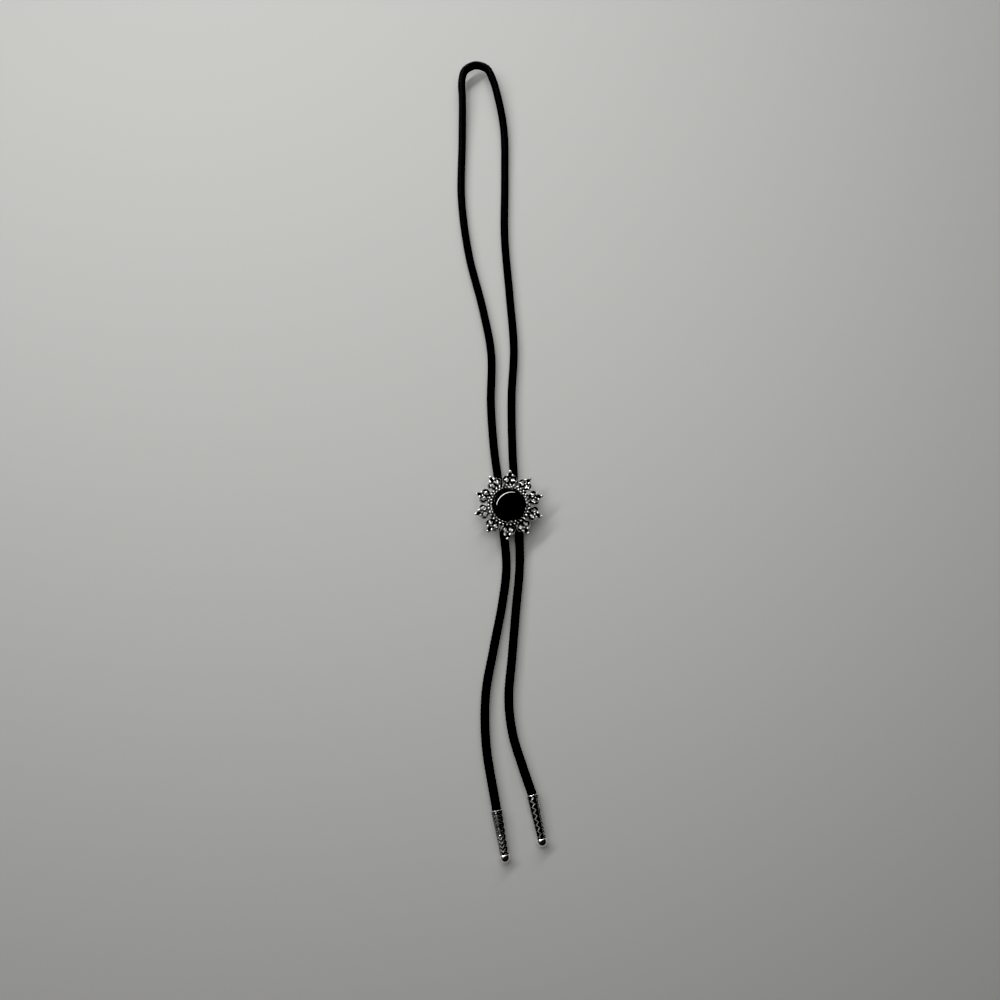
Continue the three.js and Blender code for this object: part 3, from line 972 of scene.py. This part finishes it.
def make_setting(material):
    """The slide's silver in one closed shape: cup, rows of granules and petals."""
    turns = petal_turns()
    one = petal()
    petals = joined([turned_about_z(one, turn) for turn in turns])
    inner = row_beads(INNER_ROW, INNER_ROW_RADIUS, INNER_LEDGE)
    outer = row_beads(OUTER_ROW, OUTER_ROW_RADIUS, OUTER_LEDGE)
    rows = []
    for row in (inner, outer):
        rows.append(joined([ball(*bead, ROW_BEAD_SIDES, ROW_BEAD_RINGS) for bead in row]))
    shape = fused(cup_and_ledges(), joined_on=[petals, *rows])
    beads = inner + outer
    eyes = []
    for turn in turns:
        beads += [(turned_point(centre, turn), radius) for centre, radius in petal_beads()]
        eyes += [turned_point(petal_point(EYE_PLACE, side, 0), turn) for side in (1, -1)]
    relief = setting_relief(shape[0], beads, eyes)
    return finished("filigree_slide", shape, material, SETTING_CREASE, relief)


def make_stone(material):
    """The domed stone, straight at its girdle and bevelled underneath."""
    girdle_top = STONE_LOW[2] + STONE_GIRDLE
    dome = STONE_HIGH[2] - girdle_top
    profile = [(0, STONE_LOW[2]), (STONE_RADIUS - STONE_CHAMFER, STONE_LOW[2])]
    profile.append((STONE_RADIUS, STONE_LOW[2] + STONE_CHAMFER))
    for angle in np.linspace(0, math.pi / 2, STONE_DOME_RINGS + 1):
        profile.append((STONE_RADIUS * math.cos(angle), girdle_top + dome * math.sin(angle)))
    return finished("onyx_cabochon", lathe(profile, STONE_SIDES), material, STONE_CREASE)


def arc(centre, radius, start, end, steps):
    """Points of an arc from one angle to another, both ends included."""
    x, y = centre
    angles = np.linspace(start, end, steps + 1)
    return [(x + radius * math.cos(angle), y + radius * math.sin(angle)) for angle in angles]


def make_clip(material):
    """The plain clip behind the slide: a plate with two tubes below it, flat underneath."""
    tube_outer = CHANNEL_RADIUS + CLIP_CHANNEL_WALL
    flat = math.asin(CHANNEL_HEIGHT / tube_outer)
    plate_half = CLIP_HIGH[0]
    plate_under = CLIP_HIGH[2] - CLIP_PLATE_THICKNESS
    outline = [(-plate_half, CLIP_HIGH[2]), (-plate_half, plate_under)]
    for side in (-1, 1):
        middle = (side * STRAND_OFFSET, CHANNEL_HEIGHT)
        outline.append((middle[0] - tube_outer, plate_under))
        outline += arc(middle, tube_outer, math.pi, math.pi + flat, CLIP_ARC_STEPS)
        outline += arc(middle, tube_outer, FULL_TURN - flat, FULL_TURN, CLIP_ARC_STEPS)
        outline.append((middle[0] + tube_outer, plate_under))
    outline += [(plate_half, plate_under), (plate_half, CLIP_HIGH[2])]
    count = len(outline)
    points = [(x, CLIP_LOW[1], z) for x, z in outline] + [(x, CLIP_HIGH[1], z) for x, z in outline]
    faces = [list(range(count)), list(range(2 * count - 1, count - 1, -1))]
    for i in range(count):
        after = (i + 1) % count
        faces.append([i, count + i, count + after, after])
    body = (np.array(points), faces)
    holes = []
    for side in (-1, 1):
        line = np.array([
            (side * STRAND_OFFSET, CLIP_LOW[1] - HOLE_REACH, CHANNEL_HEIGHT),
            (side * STRAND_OFFSET, CLIP_HIGH[1] + HOLE_REACH, CHANNEL_HEIGHT),
        ])
        holes.append(tube(line, CHANNEL_RADIUS, 2 * CLIP_ARC_STEPS))
    clip = finished("bolo_clip_body", fused(body, cut=holes), material, CLIP_CREASE)
    bevel = clip.modifiers.new("rounded edges", "BEVEL")
    bevel.width = CLIP_EDGE_ROUND * MM
    bevel.segments = CLIP_EDGE_SEGMENTS
    bevel.limit_method = "ANGLE"
    bevel.angle_limit = math.radians(CLIP_EDGE_DEGREES)
    bevel.harden_normals = True
    return clip


# Tips

def stroke(distance, width):
    """A raised line: 1 near its middle, falling to 0 at width from it."""
    return 1 - ease(TIP_LINE_FLAT_SHARE * width, width, np.abs(distance))


def from_nearest(along, pitch):
    """Distance along the tip from the nearest of a row of marks."""
    return (along + pitch / 2) % pitch - pitch / 2


def stem_column(reach, along):
    """A barbed stem with two cross cuts, then a boss, then chevrons down to the neck."""
    boss_at = TIP_BOSS_SHARE * TIP_LENGTH
    barbs = stroke(from_nearest(along + TIP_BARB_SLOPE * reach, TIP_BARB_PITCH), TIP_LINE)
    leaf = np.maximum(stroke(reach, TIP_STEM_WIDTH), TIP_BARB_HEIGHT * barbs)
    for share in TIP_CUT_SHARES:
        leaf = leaf * (1 - stroke(along - share * TIP_LENGTH, TIP_CUT))
    chevrons = stroke(from_nearest(along + TIP_CHEVRON_SLOPE * reach, TIP_CHEVRON_PITCH), TIP_LINE)
    from_boss = np.hypot(reach, along - boss_at)
    height = np.where(along < boss_at, leaf, chevrons)
    height = height * ease(TIP_BOSS_RADIUS, TIP_BOSS_RADIUS + TIP_LINE, from_boss)
    return np.maximum(height, TIP_BOSS_RELIEF * stroke(from_boss, TIP_BOSS_RADIUS))


def ladder_column(across, along, half_width):
    """A zigzag down the middle of the column."""
    wave = np.abs((along / TIP_ZIGZAG_PITCH) % 2 - 1) * 2 - 1
    return stroke(across - TIP_ZIGZAG_REACH * half_width * wave, TIP_ZIGZAG_LINE)


def tip_ornament(angles, body, outer, roll):
    """Height of the embossing over a tip's body, mostly from 0 to 1, which is its relief too."""
    share = angles / FULL_TURN * TIP_COLUMNS + roll
    on_stem = np.floor(share)[None, :] % 2 == 0
    half_width = (math.pi * outer / TIP_COLUMNS)[:, None]
    across = 2 * (share % 1 - 0.5)[None, :] * half_width
    along = body[:, None] + 0 * across
    reach = np.abs(across)
    height = np.where(on_stem, stem_column(reach, along), ladder_column(across, along, half_width))
    field = 1 - ease(*TIP_FIELD_EDGE, reach / half_width)
    dots = stroke(np.hypot(half_width - reach, from_nearest(along, TIP_DOT_PITCH)), TIP_DOT_RADIUS)
    dots = dots * np.where(on_stem, 1, TIP_LADDER_DOT_HEIGHT)
    ground = np.where(on_stem, TIP_GROUND, TIP_LADDER_GROUND)
    ends = ease(*TIP_START_RISE, along - TIP_RIM_WIDTH) * ease(*TIP_END_RISE, body[-1] - along)
    return np.maximum(np.maximum(height * field, dots), ground) * ends


def tip_shape(roll):
    """A tip about the Z axis, its mouth at 0 and its ball at the far end, and each point's relief."""
    mouth = TIP_MOUTH_DIAMETER / 2
    neck = TIP_NECK_DIAMETER / 2
    ball_radius = TIP_BALL_DIAMETER / 2
    neck_at = TIP_LENGTH - math.sqrt(ball_radius**2 - neck**2)
    inner = mouth - TIP_WALL
    rim = TIP_RIM_ROUND
    angles = np.arange(TIP_SIDES) * FULL_TURN / TIP_SIDES
    body = np.arange(TIP_RIM_WIDTH, neck_at, TIP_RING_SPACING)
    outer = mouth + (neck - mouth) * body / neck_at
    height = tip_ornament(angles, body, outer, roll)
    # Each ring has its radius, its distance from the mouth, and its relief
    rings = [
        (inner / 2, TIP_RECESS, 0),
        (inner, TIP_RECESS, 0),
        (inner, rim, TIP_INSIDE_RELIEF),
        (inner + rim / 2, 0, TIP_RIM_TOP_RELIEF),
        (mouth - rim, 0, TIP_RIM_TOP_RELIEF),
        (mouth, rim, TIP_RIM_TOP_RELIEF),
        (mouth, TIP_RIM_WIDTH - 2 * rim, TIP_RIM_SIDE_RELIEF),
        (mouth - rim, TIP_RIM_WIDTH - rim, TIP_INSIDE_RELIEF),
    ]
    rings += list(zip(outer[:, None] - TIP_RELIEF * (1 - height), body, height))
    first = -math.acos(neck / ball_radius)
    for angle in np.linspace(first, math.pi / 2, TIP_BALL_RINGS, endpoint=False):
        at = TIP_LENGTH + ball_radius * math.sin(angle)
        value = TIP_BALL_RELIEF * ease(first, first / 2, angle)
        rings.append((ball_radius * math.cos(angle), at, value))
    circles = []
    relief = []
    for radius, at, value in rings:
        radius = np.broadcast_to(radius, TIP_SIDES)
        level = np.full(TIP_SIDES, at)
        circles.append(np.column_stack([radius * np.cos(angles), radius * np.sin(angles), level]))
        relief.append(np.broadcast_to(value, TIP_SIDES))
    shape = skin(np.array(circles), (0, 0, TIP_RECESS), (0, 0, TIP_LENGTH + ball_radius))
    return shape, np.concatenate([*relief, [0, TIP_BALL_RELIEF]])


def make_tip(name, cord_end, tip, material):
    """A tip on the floor, its mouth a small gap beyond the cord's end."""
    mouth, side, up, axis = tip_axes(cord_end, tip["turn"])
    (points, faces), relief = tip_shape(tip["roll"])
    placed = mouth + points[:, :1] * side + points[:, 1:2] * up + points[:, 2:] * axis
    return finished(name, (placed, faces), material, TIP_CREASE, relief)


# Surroundings

def make_floor():
    corners = FLOOR_HALF * np.array([(-1.0, -1, 0), (1, -1, 0), (1, 1, 0), (-1, 1, 0)])
    floor = make_object("floor", make_mesh("floor", (corners, [[0, 1, 2, 3]])))
    floor.data.materials.append(pale_paper())


def add_panel(name, size, radiance, axes, diffuse=True, glossy=True):
    """A rectangular light. axes are its middle and its directions along, across and backwards."""
    data = bpy.data.lights.new(name, "AREA")
    data.shape = "RECTANGLE"
    data.size, data.size_y = size
    data.energy = radiance * size[0] * size[1] * math.pi
    panel = bpy.data.objects.new(name, data)
    place = np.eye(4)
    place[:3, 3], place[:3, 0], place[:3, 1], place[:3, 2] = axes
    panel.matrix_world = Matrix(place.tolist())
    panel.visible_camera = False
    panel.visible_diffuse = diffuse
    panel.visible_glossy = glossy
    bpy.context.scene.collection.objects.link(panel)


def window_axes():
    """A long level strip at the upper left, facing the slide."""
    start, end = np.array(WINDOW_ENDS)
    middle = (start + end) / 2
    along = (end - start) / np.linalg.norm(end - start)
    back = middle - along * np.dot(middle, along)
    back = back / np.linalg.norm(back)
    return middle, along, np.cross(back, along), back


def add_lights():
    """A narrow window, what shiny surfaces mirror of it, and a soft panel above without glints."""
    middle, along, across, back = window_axes()
    length = np.linalg.norm(np.subtract(*WINDOW_ENDS))
    facing = (along, across, back)
    strip = (length, WINDOW_WIDTH)
    add_panel("window", strip, WINDOW_RADIANCE, (middle, *facing))
    nearer = middle - back * GLINT_NEARER
    add_panel("window_glint", strip, GLINT_RADIANCE, (nearer, *facing), diffuse=False)
    behind = back * GLOW_DISTANCE
    add_panel("window_wall", GLOW_SIZE, GLOW_RADIANCE, (behind, *facing), diffuse=False)
    overhead = (FILL_PLACE, (1, 0, 0), (0, 1, 0), (0, 0, 1))
    add_panel("soft_fill", (FILL_SIZE, FILL_SIZE), FILL_RADIANCE, overhead, glossy=False)


def add_world():
    world = bpy.data.worlds.new("dim room")
    bpy.context.scene.world = world
    world.use_nodes = True
    background = world.node_tree.nodes["Background"]
    background.inputs["Color"].default_value = (*ROOM_COLOUR, 1)
    background.inputs["Strength"].default_value = ROOM_RADIANCE


def set_looks():
    """Plain colours, with the picture's darkest tones drawn down to black."""
    view = bpy.context.scene.view_settings
    view.view_transform = "Standard"
    view.look = "None"
    view.use_curve_mapping = True
    view.curve_mapping.black_level = [BLACK_LEVEL] * 3
    view.curve_mapping.update()


add_camera()
set_looks()
add_world()
add_lights()
make_floor()

slide_silver = antiqued_silver("slide_silver", SLIDE_SILVER, SLIDE_WEAR)
tip_silver = antiqued_silver("tip_silver_finish", TIP_SILVER, TIP_WEAR)

left_tip = make_tip("tip_left_cast", ROUTE[0], LEFT_TIP, tip_silver)
right_tip = make_tip("tip_right_cast", ROUTE[-1], RIGHT_TIP, tip_silver)
cord, cord_path, cord_length = make_cord(braided_black())
setting = make_setting(slide_silver)
stone = make_stone(black_onyx())
clip = make_clip(clip_metal())

DRESSED = (
    (left_tip, "tip_left", "tip_silver"),
    (right_tip, "tip_right", "tip_silver"),
    (cord, "cord", "braided_cord"),
    (setting, "filigree_setting", "antique_silver"),
    (stone, "stone", "black_stone"),
    (clip, "bolo_clip", "clip_metal"),
)
for piece, node, slot in DRESSED:
    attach(piece, "root")
    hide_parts(node)
